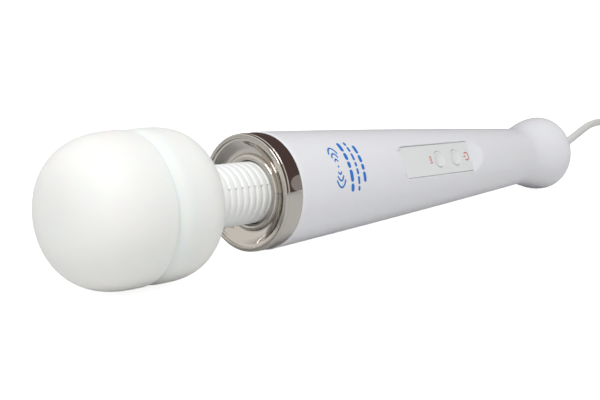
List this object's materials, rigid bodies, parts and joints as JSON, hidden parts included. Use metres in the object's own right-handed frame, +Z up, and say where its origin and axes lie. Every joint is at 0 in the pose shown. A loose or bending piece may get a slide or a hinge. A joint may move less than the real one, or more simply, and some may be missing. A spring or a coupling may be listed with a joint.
{
  "type": "wand massager",
  "caption": "Mains handheld wand massager with a round silicone head on a flexible ribbed neck, chrome collar, tapered handle with a button panel, and a coiled lead with plug.",
  "frame": {"origin": "on the surface the wand lies on, under the middle of the wand's own box (lead and plug not counted)", "axes": "+Z up, +X along the wand from the head to the tail, -Y towards the side with the control panel"},
  "size_m": [0.4912, 0.0935, 0.0605],
  "materials": {
    "silicone": "matte warm white silicone",
    "core_plastic": "moulded ABS",
    "bearing_steel": "ground steel",
    "drive_steel": "machined steel",
    "weight_iron": "cast, oiled",
    "bellows_rubber": "satin white rubber",
    "spring_steel": "spring steel",
    "chrome": "mirror polished plating",
    "shell_plastic": "satin gloss cool white ABS",
    "screw_steel": "black oxide",
    "motor_steel": "zinc plated",
    "stator_iron": "laminated",
    "end_cap_plastic": "glass filled nylon",
    "copper": "enamelled copper",
    "brass": "turned brass",
    "mount_rubber": "soft black rubber",
    "panel_plastic": "pale grey-green satin",
    "board": "solder mask",
    "switch_plastic": "black moulding",
    "wire": "red insulation",
    "lead_pvc": "pale grey-white PVC",
    "tie_wire": "black coated tie",
    "blade_metal": "nickel plated brass"
  },
  "bodies": {
    "handle": {"chrome_collar": "chrome", "neck_socket": "chrome", "neck_rear_flange": "core_plastic", "handle_shell_front": "shell_plastic", "handle_shell_back": "shell_plastic", "shell_screws": "screw_steel", "motor_can": "motor_steel", "motor_stator": "stator_iron", "motor_end_cap": "end_cap_plastic", "motor_mount_front": "mount_rubber", "motor_mount_rear": "mount_rubber", "control_panel": "panel_plastic", "control_board": "board", "button_switches": "switch_plastic", "board_screws": "screw_steel", "power_board": "board", "motor_leads": "wire", "cord_clamp": "core_plastic", "strain_relief": "lead_pvc", "cord_lead": "lead_pvc", "cord_coil": "lead_pvc", "coil_tie": "tie_wire", "cord_end": "lead_pvc", "plug_body": "lead_pvc", "plug_blades": "blade_metal"},
    "rotor": {"motor_rotor": "copper", "motor_shaft": "drive_steel", "drive_coupling": "brass"},
    "neck": {"neck_bellows": "bellows_rubber", "neck_spring": "spring_steel", "flexible_drive_shaft": "drive_steel"},
    "head": {"head_cover": "silicone", "head_core_front": "core_plastic", "head_core_rear": "core_plastic", "head_bearing_front": "bearing_steel", "head_bearing_rear": "bearing_steel", "neck_front_flange": "core_plastic"},
    "eccentric": {"eccentric_shaft": "drive_steel", "eccentric_weight": "weight_iron", "weight_screw": "screw_steel"},
    "power_key": {"power_button": "panel_plastic"},
    "mode_key": {"mode_button": "panel_plastic"}
  },
  "joints": [
    {"name": "neck_tilt", "type": "hinge", "parent": "handle", "child": "neck", "pos_m": [-0.0882, 0, 0.02885], "axis": [0, 1, 0], "range_deg": [-15, 15], "stiffness_Nm_per_rad": 4, "deforming": ["neck_bellows", "neck_spring", "flexible_drive_shaft"]},
    {"name": "neck_sway", "type": "hinge", "parent": "neck", "child": "head", "pos_m": [-0.0882, 0, 0.02885], "axis": [0.0324, 0, 0.9995], "range_deg": [-15, 15], "stiffness_Nm_per_rad": 4, "deforming": ["neck_bellows", "neck_spring", "flexible_drive_shaft"]},
    {"name": "motor_spin", "type": "hinge", "parent": "handle", "child": "rotor", "pos_m": [-0.02524, 0, 0.02681], "axis": [0.9995, 0, -0.0324], "continuous": true},
    {"name": "eccentric_spin", "type": "hinge", "parent": "head", "child": "eccentric", "pos_m": [-0.13718, 0, 0.03044], "axis": [0.9995, 0, -0.0324], "continuous": true},
    {"name": "power_press", "type": "slide", "parent": "handle", "child": "power_key", "axis": [-0.0597, 0.9195, -0.3886], "range_m": [0, 0.0006], "stiffness_N_per_m": 400},
    {"name": "mode_press", "type": "slide", "parent": "handle", "child": "mode_key", "axis": [-0.0597, 0.9195, -0.3886], "range_m": [0, 0.0006], "stiffness_N_per_m": 400}
  ],
  "couplings": [
    {"joint": "eccentric_spin", "follows": "motor_spin", "ratio": 1}
  ]
}
